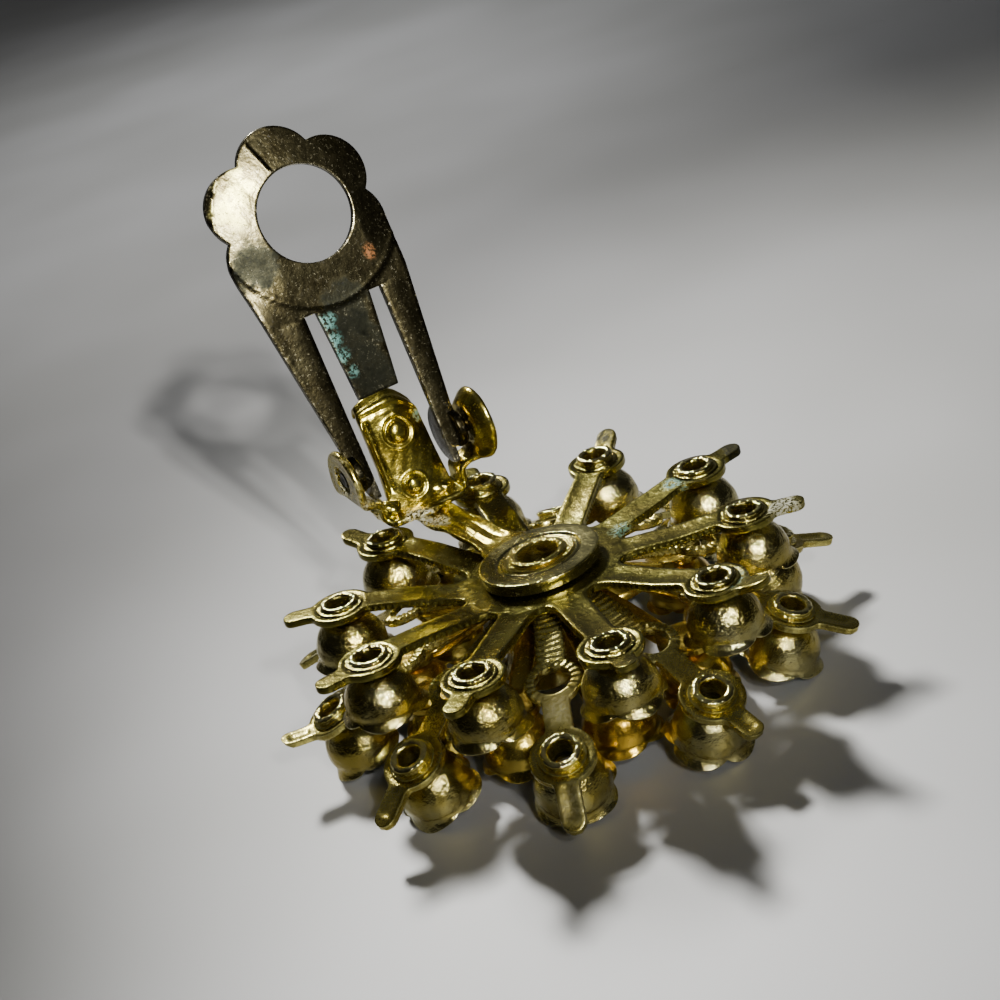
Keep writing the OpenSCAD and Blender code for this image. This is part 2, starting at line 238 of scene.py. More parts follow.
class Value:
    """A node's output socket that takes arithmetic: each operator adds one Math node."""

    def __init__(self, tree, socket):
        self.tree, self.socket = tree, socket

    def math(self, operation, first, second):
        return add_node(self.tree, "Math", {"operation": operation}, {0: first, 1: second})

    def __add__(self, other):
        return self.math("ADD", self, other)

    def __radd__(self, other):
        return self.math("ADD", other, self)

    def __sub__(self, other):
        return self.math("SUBTRACT", self, other)

    def __rsub__(self, other):
        return self.math("SUBTRACT", other, self)

    def __mul__(self, other):
        return self.math("MULTIPLY", self, other)

    def __rmul__(self, other):
        return self.math("MULTIPLY", other, self)

    def __truediv__(self, other):
        return self.math("DIVIDE", self, other)

    def between(self, low, high):
        """0 at low and 1 at high, clamped and smoothed."""
        return add_node(self.tree, "MapRange", {"interpolation_type": "SMOOTHSTEP"},
                        {0: self, 1: low, 2: high})

    def axis(self, letter):
        """One coordinate of a place."""
        return add_node(self.tree, "SeparateXYZ", {}, {0: self}, letter)


def plug(socket, item):
    """Links a Value to a socket, or sets the socket's own value."""
    if isinstance(item, Value):
        item.tree.links.new(item.socket, socket)
    else:
        socket.default_value = (*item, 1.0) if socket.type == "RGBA" else item


def add_node(tree, kind, settings, inputs, out=0):
    """Adds a shader node with its settings and sockets, and gives one of its outputs."""
    node = tree.nodes.new("ShaderNode" + kind)
    for key, item in settings.items():
        setattr(node, key, item)
    for key, item in inputs.items():
        plug(node.inputs[key], item)
    return Value(tree, node.outputs[out])


class Finish:
    """A material in the making, with its coordinates and its shader."""

    def __init__(self, name):
        self.material = bpy.data.materials.new(name)
        self.material.use_nodes = True
        self.tree = self.material.node_tree
        self.tree.nodes.clear()
        self.shader = self.tree.nodes.new("ShaderNodeBsdfPrincipled")
        out = self.tree.nodes.new("ShaderNodeOutputMaterial")
        self.tree.links.new(self.shader.outputs[0], out.inputs[0])
        self.place = add_node(self.tree, "TexCoord", {}, {}, "Object")

    def noise(self, size_mm, detail, rough=0.55):
        """Noise whose features are about size_mm across."""
        return add_node(self.tree, "TexNoise", {}, {
            "Vector": self.place, "Scale": 1 / (size_mm * MM), "Detail": detail, "Roughness": rough})

    def attribute(self, name):
        """The value of each point of the mesh under a name."""
        return add_node(self.tree, "Attribute", {"attribute_name": name}, {}, "Fac")

    def mix(self, share, first, second):
        """A colour from first to second by share."""
        return add_node(self.tree, "Mix", {"data_type": "RGBA"}, {0: share, 6: first, 7: second}, 2)

    def spot(self, centre_mm, radius_mm, ragged, soft):
        """1 inside a ragged ball about a point of the part, falling to 0 over a share of its radius."""
        away = add_node(self.tree, "VectorMath", {"operation": "DISTANCE"},
                        {0: self.place, 1: [c * MM for c in centre_mm]}, "Value")
        return (1.0 - away / (radius_mm * MM) + (ragged - 0.5) * 1.6).between(0.0, soft)

    def set(self, **inputs):
        """Sets or links the shader's own sockets, written with _ for a space."""
        for key, item in inputs.items():
            plug(self.shader.inputs[key.replace("_", " ")], item)

    def bump(self, height_mm):
        """Sends a relief in millimetres to the normal."""
        self.set(Normal=add_node(self.tree, "Bump", {}, {
            "Strength": 1.0, "Distance": MM, "Height": height_mm}))


# Kinds of spot on a finish: colour, its share, how broken and how dull it is, and how soft its rim is
# The darkest kind of spot is partly a dark stain and partly painted shade
SPOTS = dict(
    # The pale kind after the darkest one is a painted highlight: a pale, mostly matte patch in place of the
    # lamps' reflection
    soot=((0.01, 0.0105, 0.007), 0.95, 0.15, 0.0, 0.35), bare=((0.74, 0.68, 0.21), 0.95, 0.25, 0.8, 1.0),
    bloom=((0.2, 0.185, 0.125), 0.75, 0.5, 0.35, 1.0), green=((0.06, 0.17, 0.145), 0.9, 0.95, 0.7, 0.7),
    rust=((0.13, 0.042, 0.004), 0.9, 0.9, 0.4, 0.8), white=((0.4, 0.4, 0.32), 0.8, 1.0, 0.75, 0.6))


def gilt(name, pale, deep, tarnish, bright, shine, grime=0.5, speckle=0.3, wave=1.0, grain=1.0, dull=None,
         rivet=None, flecks=0.0, **spots):
    """Worn plate on brass: pale and deep gold in patches, brown tarnish, dark specks, and a bright colour on
    worn edges that is partly real wear and partly a painted highlight. A tone of 0.4 brings in a dull colour
    and 1 a rivet's. wave and grain scale the hammered and the gritty look, flecks are pale dots, and spots
    lie about points (x, y, z, radius in mm); some kinds of spot are a painted highlight or painted shade."""
    f = Finish(name)
    patch, cloud = f.noise(2.6, 4.0), f.noise(0.9, 5.0, 0.65)
    fine, dust = f.noise(0.16, 3.0, 0.7), f.noise(0.07, 2.0, 0.6)
    ripple, wear = f.noise(0.45, 2.0, 0.5), f.attribute("wear")
    colour = f.mix(patch.between(0.36, 0.64), pale, deep)
    if dull:
        tone = f.attribute("tone")
        colour = f.mix(tone.between(0.0, 0.4), colour, dull)
        colour = f.mix(tone.between(0.45, 0.9), colour, rivet or dull)
    film = cloud.between(0.6 - 0.18 * grime, 0.86 - 0.1 * grime) * (1.0 - wear * 0.55)
    colour = f.mix(film * 0.8, colour, tarnish)
    pits = fine.between(0.6, 0.68) * cloud.between(0.35, 0.6) * speckle
    colour = f.mix(pits, colour, tuple(0.3 * t for t in tarnish))
    # bright is the pale colour laid on worn edges: partly real wear, partly a painted highlight along them
    wear_and_glint = wear.between(0.62, 0.95) * fine.between(0.36, 0.56)
    colour = f.mix(wear_and_glint * 0.8, colour, bright)
    metal = 1.0 - pits * 0.35
    rough = shine + film * 0.14 + pits * 0.25 + (dust - 0.5) * 0.1 + patch * 0.06 - wear_and_glint * 0.08
    for kind, (tint, share, broken, matte, soft) in SPOTS.items():
        for *centre, radius in spots.get(kind, ()):
            crust = f.spot(centre, radius, cloud, soft) * (1.0 - broken + fine.between(0.44, 0.54) * broken)
            colour = f.mix(crust * share, colour, tint)
            metal = metal * (1.0 - crust * matte)
            rough = rough + crust * 0.2
    if flecks:
        dots = fine.between(0.56, 0.64) * dust.between(0.4, 0.62) * cloud.between(0.62, 0.4) * flecks
        colour = f.mix(dots, colour, (0.36, 0.33, 0.2))
        metal = metal * (1.0 - dots * 0.5)
    f.set(Base_Color=colour, Metallic=metal, Roughness=rough)
    f.bump((patch * 0.03 + cloud * 0.025 + ripple * 0.022 + (fine * grain - pits) * 0.006) * wave)
    return f.material


def crystal():
    """Clear cut glass with a cold tint, mirror-backed: a dark body under bright facets."""
    f = Finish("cut_glass")
    tint = f.mix(f.noise(1.4, 1.0).between(0.4, 0.6), (0.55, 0.8, 0.82), (0.8, 0.84, 0.9))
    f.set(Base_Color=tint, Metallic=0.35, Roughness=0.03, IOR=1.6, Coat_Weight=1.0, Coat_Roughness=0.02,
          Specular_IOR_Level=0.8, Transmission_Weight=0.65)
    return f.material


# Stamped sheet

ACROSS_ROW = linspace(-1, 1, 9)
WEB_ROWS = 6
VALLEY_ENDS = ((cos(HALF_STEP), sin(HALF_STEP)), (cos(HALF_STEP), -sin(HALF_STEP)))

# Edge of a stamped sheet from its top face to its underside: outward step, depth, share of the beading
EDGE = np.array([[-0.06, 0, 0], [-0.018, -0.018, 0], [0, -0.07, 0], [0, -0.17, 0.3],
                 [0, -0.25, 1], [0, -0.33, 1], [-0.02, -0.385, 0.4], [-0.06, -0.4, 0]])
ROUND_EDGE = np.array([[-0.17, 0, 0], [-0.1, -0.015, 0], [-0.04, -0.07, 0], [0, -0.15, 0],
                       [0, -0.25, 0], [-0.04, -0.33, 0], [-0.1, -0.385, 0], [-0.17, -0.4, 0]])
# Down the same edge: how much of the face's relief it follows, and the wear of outer, hole and paddle edges
EDGE_FADE, RIM_WEAR, HOLE_WEAR, PADDLE_WEAR = np.array([
    [1, 1, 0.7, 0.3, 0, 0, 0, 0], [0.6, 1, 1, 0.4, 0.8, 0.8, 0.3, 0.3],
    [0.6, 1, 1, 0.4, 0.4, 0.4, 0.3, 0.3], [0.8, 1, 1, 0.7, 0.6, 0.6, 0.8, 0.8]])[..., None]


def strip_rows(s, half, lag=0.0):
    """Rows across a strip: y = half * v for v from -1 to 1, and s falls behind by lag * v^2."""
    s, half, lag = (a[:, None] for a in np.broadcast_arrays(s, half, lag))
    return coords(s - lag * ACROSS_ROW**2, half * ACROSS_ROW)


def disc_rows(r):
    """Arcs across one sector of a disc."""
    return strip_rows(r, r * sin(HALF_STEP), r * (1 - cos(HALF_STEP)))


def bar_rows(s0, s1, half0, half1, join=None, start=None, pitch=0.085, flare=0.5):
    """Rows of a bar from s0 to s1, flaring to the half width join at its end and from start at its root."""
    s = linspace(s0, s1, max(4, int((s1 - s0) / pitch)))
    half = half0 + (half1 - half0) * (s - s0) / (s1 - s0)
    if join is not None:
        half = half + (join - half1) * clip((s - s1) / flare + 1, 0, 1) ** 3
    if start is not None:
        half = half + (start - half0) * clip(1 - (s - s0) / flare, 0, 1) ** 3
    return strip_rows(s, half)


def root_rows(web_r, half0, half1, to, fillet, **bar):
    """Rows of one sector of a star's centre disc, as arcs, then round the valley between two arms and
    along the arm's bar. Gives its outer edge too."""
    web_r, half0, half1 = web_r - INSET, half0 - INSET, half1 - INSET
    t = linspace(0, pi / 2, 9)[1:]
    lag = web_r * (1 - cos(HALF_STEP)) * (1 - ease(2 * t / pi))
    edge_x = web_r * cos(HALF_STEP) + fillet * (1 - cos(t))
    edge_y = web_r * sin(HALF_STEP)
    valley = strip_rows(edge_x + lag, edge_y - (edge_y - half0) * sin(t), lag)
    rows = vstack([disc_rows(linspace(HUB_HOLE, web_r, WEB_ROWS)), valley,
                   bar_rows(edge_x[-1], to, half0, half1, **bar)[1:]])
    return rows, rows[WEB_ROWS - 1:, -1]


def tab_rows(s0, s1, start, half):
    """Rows of a tab with a round end: straight, then half = w cos t at s1 - w + w sin t."""
    body = bar_rows(s0, s1 - half, half, half, start=start, pitch=0.12, flare=0.45)
    t = linspace(0, pi / 2, 9)[1:]
    return vstack([body, strip_rows(s1 - half + half * sin(t), half * cos(t))])


def ring_block(centre, radius, hole, near, far, arc=34, rings=4):
    """Flat ring from a round hole to an outline: a join on the hub's side, its corners at the angle near,
    an arc, a join at the angle far (a point if 0) and an arc back. Gives the ring, its arc and its hole."""
    join_in = coords(-radius * cos(near), radius * sin(near) * ACROSS_ROW)
    join_out = coords(radius * cos(far), -radius * sin(far) * ACROSS_ROW) if far else [[radius, 0.0]]
    over = radius * circle(linspace(pi - near, far, arc + 2)[1:-1])
    outline = vstack([join_in, over, join_out, over[::-1] * [1, -1]])
    inner = hole * circle(arctan2(outline[:, 1], outline[:, 0]))
    t = linspace(0, 1, rings + 1)[:, None, None]
    return inner + (outline - inner) * t + [centre, 0], over + [centre, 0], inner + [centre, 0]


def seat_and_tab(path, star, near, far):
    """Seat ring with its arc and hole, and the tab past it: places are lengths along the arm."""
    seat, r = at_radius(path, star["seat_at"]), SEAT_R - INSET
    tab = tab_rows(seat + r * cos(far), at_radius(path, star["tab_to"]), r * sin(far), star["tab"] - INSET)
    return seat, r, *ring_block(seat, r, SEAT_HOLE + INSET, near, far), tab


def mirror_outline(*parts):
    """A whole outline from its half on the positive side, which ends at the tip."""
    half = np.concatenate(parts)
    return vstack([half, half[:-1][::-1] * [1, -1]])


def stamped(shell, strips, rings, holes, outline, bend, lift, ends=VALLEY_ENDS, bead=0.0, bead_to=99.0,
            thick=SHEET, edge=EDGE):
    """Adds a sheet: its flat patches as top and bottom faces, its edge carried along the outline, whose
    normals are given at both ends, and its hole walls. bend turns flat points and a depth below the top
    face into space."""
    deep = (edge[:, 1] * thick / 0.4)[:, None]
    out = (edge[:, 0] - edge[0, 0])[:, None]
    for patches, closed in ((strips, ""), (rings, "c")):
        for patch in patches:
            shell.grid(bend(patch, lift(patch)), 0.35, closed)
            shell.grid(bend(patch, np.full(patch.shape[:2], deep[-1])), 0.4, closed)
    side = normals_of(outline)
    side[0], side[-1] = ends
    beads = bead * (0.5 - 0.5 * cos(2 * pi * lengths(outline) / BEAD_PITCH)) * (outline[:, 0] < bead_to)
    wall = outline + side * (out + edge[:, 2:] * beads)[..., None]
    shell.grid(bend(wall, deep + lift(outline) * EDGE_FADE), RIM_WEAR)
    for loop in holes:
        middle = loop.mean(0)
        inward = (middle - loop) / np.linalg.norm(middle - loop, axis=1, keepdims=True)
        shell.grid(bend(loop + inward * out[..., None], deep + lift(loop) * EDGE_FADE), HOLE_WEAR, closed="c")


def arm(shell, bend, lift, strips, rings, holes, outline, **options):
    """One arm of a star, with its sector of the centre disc and of the hub's wall."""
    stamped(shell, strips, rings, holes, outline, bend, lift, **options)
    rim = disc_rows(np.array([HUB_HOLE]))[0]
    shell.grid(bend(np.repeat(rim[None], 3, 0), linspace(0, -SHEET, 3)[:, None]), 0.4)


def side_path(corners, soften, reach=17.0, step=0.02):
    """A bent sheet seen from its side: height z along the radius x through the corners, softened by a
    moving mean, with the length along the bend and the slope at each place."""
    x = np.arange(0, reach, step)
    z = interp(x, *np.array(corners).T)
    n = int(soften / step)
    kernel = np.hanning(n + 2)[1:-1]
    z = np.convolve(np.pad(z, n, mode="edge"), kernel / kernel.sum(), mode="same")[n:-n]
    return dict(x=x, z=z, s=lengths(coords(x, z)), slope=np.arctan(np.gradient(z, x)))


def at_radius(path, r):
    """Length along a bent sheet at the radius r."""
    return interp(r, path["x"], path["s"])


def bender(path, turn, tab_from=99.0, tab_lift=0.0, sway=0.0):
    """The bend of one arm: length along the sheet to radius and height, depth along the slope's normal,
    then the tab's own lift and sway, the turn about the hub and the tilt of the centre."""
    def bend(flat, depth):
        s, y = split(flat)
        x, z, angle = (interp(s, path["s"], path[key]) for key in ("x", "z", "slope"))
        past = clip(s - tab_from, 0, None)
        ramp = past**2 / (past + 0.4)
        x = x - depth * sin(angle) - ramp * tab_lift**2 * 0.5
        z = z + ramp * tab_lift + depth * cos(angle)
        return on_hub(spin(coords(x, y + ramp * sway, z), turn))
    return bend


def star_back(shell):
    """Star nearest the clip: ten bars that rise from the centre disc to their seats, beaded below."""
    path = side_path([(0, -WEB_DROP), (BACK["web_r"], -WEB_DROP), (9.0, 0), (17, 0)], 0.9)
    near = 0.62
    seat, r, ring, arc, hole, tab = seat_and_tab(path, BACK, near, 0.44)
    body, body_edge = root_rows(BACK["web_r"], *BACK["bar"], seat - r * cos(near), 1.0, join=r * sin(near))
    outline = mirror_outline(body_edge, arc, tab[:, -1])

    def lift(flat):
        """A shallow dish in each seat inside a raised rim, and a slightly hollow bar."""
        s, y = split(flat)
        hollow = bump_between(s, 4.6, seat - 1.7, 0.6) * (1 - clip(abs(y) / 0.7, 0, 1) ** 2)
        return -0.07 * (1 - ease((hypot(s - seat, y) - 1.15) / 0.22)) - 0.05 * hollow

    for i in range(ARMS):
        bend = bender(path, BACK_TURN + i * STEP, seat + 1.3, BACK_TAB_LIFT[i], rng.uniform(-0.05, 0.05))
        arm(shell, bend, lift, [body, tab], [ring], [hole], outline, bead=0.09, bead_to=seat - 1.4)


def star_middle(shell):
    """Middle star: ribbed necks, open eyes with ribbed rims, plain drooping bars, seats and tabs."""
    top = -WEB_DROP - SHEET - 0.05
    fall = SEAT_R * tan(MID_LEAN)
    seat_in, seat_out = MID["seat_at"] - SEAT_R, MID["seat_at"] + SEAT_R
    path = side_path([(0, top), (2.4, top), (KNEE_R, -KNEE_DROP), (seat_in, fall - MID_DROP),
                      (seat_out, -MID_DROP - fall), (17, -MID_DROP - fall - (17 - seat_out) * 0.56)], 0.6)
    near, eye_near, eye_far = 0.48, 0.52, 0.5
    eye, eye_r = at_radius(path, MID["eye_at"]), EYE_R - INSET
    seat, r, ring, arc, hole, tab = seat_and_tab(path, MID, near, 0.44)
    body, body_edge = root_rows(MID["web_r"], *MID["neck"], eye - eye_r * cos(eye_near), 0.5,
                                join=eye_r * sin(eye_near), pitch=0.06, flare=0.3)
    eye_ring, eye_arc, eye_hole = ring_block(eye, eye_r, EYE_HOLE + INSET, eye_near, eye_far)
    bar = bar_rows(eye + eye_r * cos(eye_far), seat - r * cos(near), MID["bar"] - INSET, MID["bar"] - INSET,
                   join=r * sin(near), start=eye_r * sin(eye_far), flare=0.35)
    outline = mirror_outline(body_edge, eye_arc, bar[:, -1], arc, tab[:, -1])

    def lift(flat):
        """Ribs across the neck and round the eye's inner half, a groove along the tab, a dish in the seat."""
        s, y = split(flat)
        arch = s + 0.22 * y**2 + 0.04 * sin(3.1 * s + 4 * y)
        neck_rib = (0.5 + 0.5 * cos(2 * pi * arch / 0.38)) * bump_between(s, 3.6, eye - 1.25, 0.2)
        turn = arctan2(y, s - eye)
        eye_rib = ((0.5 + 0.5 * cos(20 * turn)) * bump_between(hypot(s - eye, y), 0.95, 1.4, 0.1)
                   * ease((abs(turn) - 0.5) / 0.5))
        groove = bump_between(s, seat + 1.75, seat + 2.9, 0.25) * (1 - ease((abs(y) - 0.16) / 0.16))
        away = hypot(s - seat, y)
        inside = 1 - ease((away - 1.15) / 0.22)
        return 0.07 * (neck_rib + eye_rib) - 0.08 * groove - 0.03 * ridge(away, 1.28, 0.12) - 0.06 * inside

    for i in range(ARMS):
        bend = bender(path, MID_TURN + i * STEP, seat + 1.3, MID_TAB_LIFT[i], rng.uniform(-0.06, 0.06))
        arm(shell, bend, lift, [body, bar, tab], [eye_ring, ring], [eye_hole, hole], outline, bead=0.03)


def dome(radius, centre, hole, count):
    """Profile down a dome, as (radius, height): from its hole to its widest place at the height centre."""
    a = linspace(arcsin(hole / radius), pi / 2, count)
    return coords(radius * sin(a), centre + radius * cos(a))


def bell_profile(eyelet):
    """Closed half profile of a cup: hollow rivet, rolled eyelet whose crest stands eyelet above the seat,
    flange, dome, flared petals, and the inside back to the bore, with each point's share of the petals'
    flare. An eyelet of 0 leaves the rivet out."""
    if eyelet:
        turn = linspace(-0.3 * pi, 0.95 * pi, 12)
        roll = circle(turn) * [0.2, 0.14] + [0.81, eyelet - 0.14]
        flange = [[0.97, 0.07], [1.08, 0.075], [1.18, 0.06], [1.21, 0], [1.15, -0.04]]
        neck = vstack([[[0.56, -0.4], [0.6, eyelet - 0.2]], roll[::-1], flange, [[0.76, 0], [0.76, -0.45]]])
    else:
        neck = np.array([[0.56, -0.35], [0.76, -0.35]])
    outer, inner = dome(1.9, -2.4, 0.76, 13), dome(1.7, -2.38, 0.56, 8)[::-1]
    t = linspace(0, 1, 9)[1:]
    petal = coords(1.9 - 0.03 * sin(pi * t), -2.4 - 0.47 * t)
    lip = [[1.88, -2.905], [1.8, -2.91]]
    profile = vstack([neck, outer, petal, lip, petal[::-1] - [0.17, -0.02], inner])
    share = np.r_[np.zeros(len(neck) + len(outer)), t**2.2, 1.05, 1.06, t[::-1] ** 2.2, np.zeros(len(inner))]
    return (*profile.T, share)


def bell(turn, flare, dent, eyelet, around=72):
    """One cup about Z = 0: the profile carried round, its rim opened into four broad petals by
    |cos 2a|^0.5, with a shallow dent on one side. Gives the points, their wear and their tone."""
    r, z, share = bell_profile(eyelet)
    a = angles(around)
    petal = abs(cos(2 * (a - turn))) ** 0.5
    grow = share * (0.42 * flare * petal - 0.1 + 0.03 * sin(7 * a + turn))
    drop = share * (0.22 * petal - 0.12 + 0.04 * sin(5 * a + 3 * turn))
    squash = 1 - dent * exp(-((a - turn - 2.0) ** 2) / 0.5) * exp(-((z + 1.9) ** 2) / 0.5)
    wave = 1 + 0.006 * sin(4 * a + 9 * z + turn) * (z < -0.5)
    hammer = where(z > 0.1, 0.018 * sin(9 * a + 5 * turn) * sin(4 * a + turn), 0)
    points = lathe(r * squash * wave + grow + hammer, z - where(z > 0, -hammer * 0.8, drop), around)
    wear = where(share > 0.85, 1.0, where(z > 0.9 * eyelet, 0.95, 0.5))
    return points, wear, (z > -0.47) * 1.0


def star_front(shell):
    """Short front star with ten plain cups soldered under its seats."""
    top = -WEB_DROP - 2 * (SHEET + 0.05)
    path = side_path([(0, top), (2.4, top), (6.5, -FRONT_DROP), (17, -FRONT_DROP)], 0.6)
    seat, near, r = at_radius(path, FRONT["seat_at"]), 0.42, FRONT["seat_r"] - INSET
    body, body_edge = root_rows(FRONT["web_r"], FRONT["bar"], FRONT["bar"], seat - r * cos(near), 0.4,
                                join=r * sin(near), pitch=0.2, flare=0.3)
    ring, arc, hole = ring_block(seat, r, 0.12, near, 0, arc=20)
    outline = mirror_outline(body_edge, arc, [[seat + r, 0.0]])
    for i in range(ARMS):
        turn = BACK_TURN + i * STEP
        bend = bender(path, turn)
        arm(shell, bend, lambda flat: np.zeros(flat.shape[:-1]), [body], [ring], [], outline)
        shell.grid(stack([bend(hole, np.full(len(hole), d)) for d in (0.0, -SHEET)]), closed="c")
        cup, wear, _ = bell(rng.uniform(0, 1.5), rng.uniform(0.8, 1.0), 0.03, eyelet=0, around=48)
        shell.grid(placed(cup, seat_matrix(turn, FRONT["seat_at"], FRONT_DROP, 0)), wear, closed="rc")


def centre_cup(shell):
    """Front cup at the hub, one profile carried round: rolled rivet end over the washer, long tube, dome,
    and a rim opened by |cos 3a|^0.7 into six petals."""
    top = WASHER_TOP
    roll = circle(linspace(-0.3 * pi, 0.9 * pi, 9)) * [0.22, 0.1] + [1.28, top + 0.1]
    flange = np.array([[1.56, 0.01], [1.72, 0.02], [1.86, 0.05], [1.93, 0.0], [1.93, -0.06], [1.3, -0.08]])
    petal = coords(3.0, -4.85 - 0.75 * linspace(0, 1, 8)[1:])
    r, z = vstack([
        [[1.05, -2.2], [1.03, top - 0.25]], roll[::-1], flange + [0, top], [[1.3, -2.1]],
        dome(3.0, -4.85, 1.3, 14), petal, [[2.95, -5.66], [2.82, -5.67]], petal[::-1] - [0.26, -0.02],
        dome(2.74, -4.83, 1.08, 10)[::-1]]).T
    share = clip((-4.85 - z) / 0.75, 0, 1) ** 1.4
    wave = abs(cos(3 * angles(96))) ** 0.7
    points = lathe(r + share * (0.6 * wave - 0.05), z - share * (0.18 * wave - 0.12), 96)
    wear = where(share > 0.9, 1.0, where(z > top + 0.2, 0.95, 0.5))
    shell.grid(on_hub(points), wear, closed="rc", tone=(z > -1.5) * 1.0)


# Clip

def rounded_loop(half, thick, edge, per_side):
    """Closed cross-section of a strip: (across, off) points of a rectangle with rounded corners."""
    corner = circle(linspace(0, pi / 2, 6)[1:-1])[:, ::-1] * edge
    right, up = half - edge, thick / 2
    side = vstack([coords(linspace(-1, 1, per_side) * right, up), corner + [right, up - edge],
                   corner[::-1] * [1, -1] + [right, edge - up]])
    return vstack([side, -side])


def add_strip(shell, loops, stand, wear, end_wear, shares):
    """A strip through its cross-section loops, its ends closed by loops shrunk to the given shares."""
    for end in (loops[0], loops[-1]):
        middle = end.mean(0)
        shell.grid(stand(stack([middle + (end - middle) * share for share in shares])), end_wear, closed="c")
    shell.grid(stand(np.array(loops)), wear, closed="c")


def washer(shell):
    """Cap washer at the hub, one profile carried round: a skirt, a flat outer ring, a step and a groove
    round the rivet."""
    top, foot, radius = WASHER_TOP, -0.5, 3.2
    outer = circle(linspace(0, pi / 2, 7)) * [0.12, 0.09] + [radius - 0.12, top - 0.09]
    r = linspace(3.04, 1.42, 50)[1:]
    ridges = (-0.06 * (1 - ease((r - 2.16) / 0.1)) - 0.05 * ridge(r, 2.2, 0.06)
              + 0.035 * ridge(r, 2.03, 0.07) + 0.012 * ridge(r, 2.75, 0.25))
    under = [[1.4, top - 0.3], [2.85, top - 0.3], [2.85, foot + 0.12], [3.05, foot + 0.1],
             [3.12, foot + 0.16], [3.1, foot + 0.36], [3.16, foot + 0.5]]
    profile = vstack([outer, coords(r, top + ridges), under])
    wear = where(np.arange(len(profile)) < len(outer), 0.9, 0.4)
    shell.grid(on_hub(lathe(*profile.T, 128)), wear, closed="rc", tone=0.4)


def strip_to_hub(shell):
    """The bracket's strip from the washer's shoulder to the base: a rounded cross-section carried out along
    the radius, its edges rolled up round long grooves."""
    radii = linspace(2.7, CLIP_R + 0.9, 80)
    loops = []
    for r in radii:
        z = (WASHER_TOP - 0.19 + 0.14 * ease((r - 8.6) / 1.4) + 0.03 * sin(r * 1.3)
             - 0.02 * ease((3.3 - r) / 0.5))
        half = 1.1 + 0.35 * ease((4.0 - r) / 1.2) - 0.1 * bump_between(r, 5.0, 7.5, 1.0) + 0.04 * sin(2.3 * r)
        across, off = rounded_loop(half, 0.36, 0.16, 31).T
        v = across / half
        grooves = 0.04 * cos(7.5 * v + 0.4 * sin(r)) * (abs(v) < 0.8)
        off = off + ease((r - 3.4) / 0.8) * (0.13 * ridge(abs(v), 1, 0.24) - 0.05 + grooves)
        off = off + 0.03 * sin(3.7 * r + 4 * v) * ease((r - 8) / 2)
        loops.append(coords(r, across, z + off))
    add_strip(shell, loops, lambda points: on_hub(spin(points, CLIP_AZ)), 0.6, 0.5, (1, 0))


def bracket_walls(shell):
    """Base and both ears as one bent sheet: the base runs out, turns up each side in a narrow neck, flares
    out and stands in a round ear. The right ear's rim is turned outward like a cap's."""
    knots = np.array([[0, 0.63], [2.28, 0.63], [2.5, 0.95], [2.54, 1.75], [3.78, 2.75], [3.78, 6.4]])
    line = resample(along(knots, range(6), linspace(0, 5, 500)), 0.02)
    kernel = np.hanning(27)
    pad = np.pad(line, ((13, 13), (0, 0)), mode="reflect", reflect_type="odd")
    line = coords(*(np.convolve(column, kernel / kernel.sum(), mode="valid") for column in pad.T))
    s, side = lengths(line), -normals_of(line)
    centre = s[np.argmax((line[:, 1] > PIVOT_H) & (line[:, 0] > 3))]
    edge_in, near, half0 = 0.17, 0.5, 1.12
    radius = 1.95 - edge_in
    neck = linspace(1.9, centre - radius * cos(near), 46)
    half = 0.66 + (half0 - 0.66) * (1 - ease((neck - 1.9) / 0.8))
    half = half + (radius * sin(near) - 0.66) * clip((neck - neck[-1]) / 0.7 + 1, 0, 1) ** 2
    body = vstack([strip_rows(linspace(0, 1.9, 8)[:-1], half0), strip_rows(neck, half)])
    ring, arc, hole = ring_block(centre, radius, 0.5 + edge_in, near, 0, arc=44, rings=12)
    outline = mirror_outline(body[:, -1], arc, [[centre + radius, 0.0]])

    for mirror, flare, drop, recess in ((1, 0.62, 0.05, 0.0), (-1, 0.06, -0.22, 0.24)):
        def bend(flat, depth):
            """A place along the bent line, then out along its normal by the depth and the ear's flare."""
            place, y = split(flat)
            ahead = place - centre
            away = hypot(ahead, y)
            share = ease((away - 0.6) / 1.2) * ease((ahead + 2.6) / 1.0)
            at = place + drop * share
            out = depth + 0.21 + flare * ease((away - 1.15) / 0.85) ** 1.4 * ease((ahead + 2.3) / 1.3)
            x, z = split(along(line, s, at) + along(side, s, at) * out[..., None])
            return placed(coords(mirror * x, y - 0.28 * share, z), CLIP)

        def lift(flat):
            """The outer face sinks round the pin, and is a little uneven."""
            place, y = split(flat)
            away = hypot(place - centre, y)
            return -recess * (1 - ease((away - 0.74) / 0.14)) + 0.012 * sin(3 * place + 2 * y)

        stamped(shell, [body], [ring], [hole], outline, bend, lift, thick=0.42, ends=((0, 1), (0, -1)),
                edge=ROUND_EDGE)


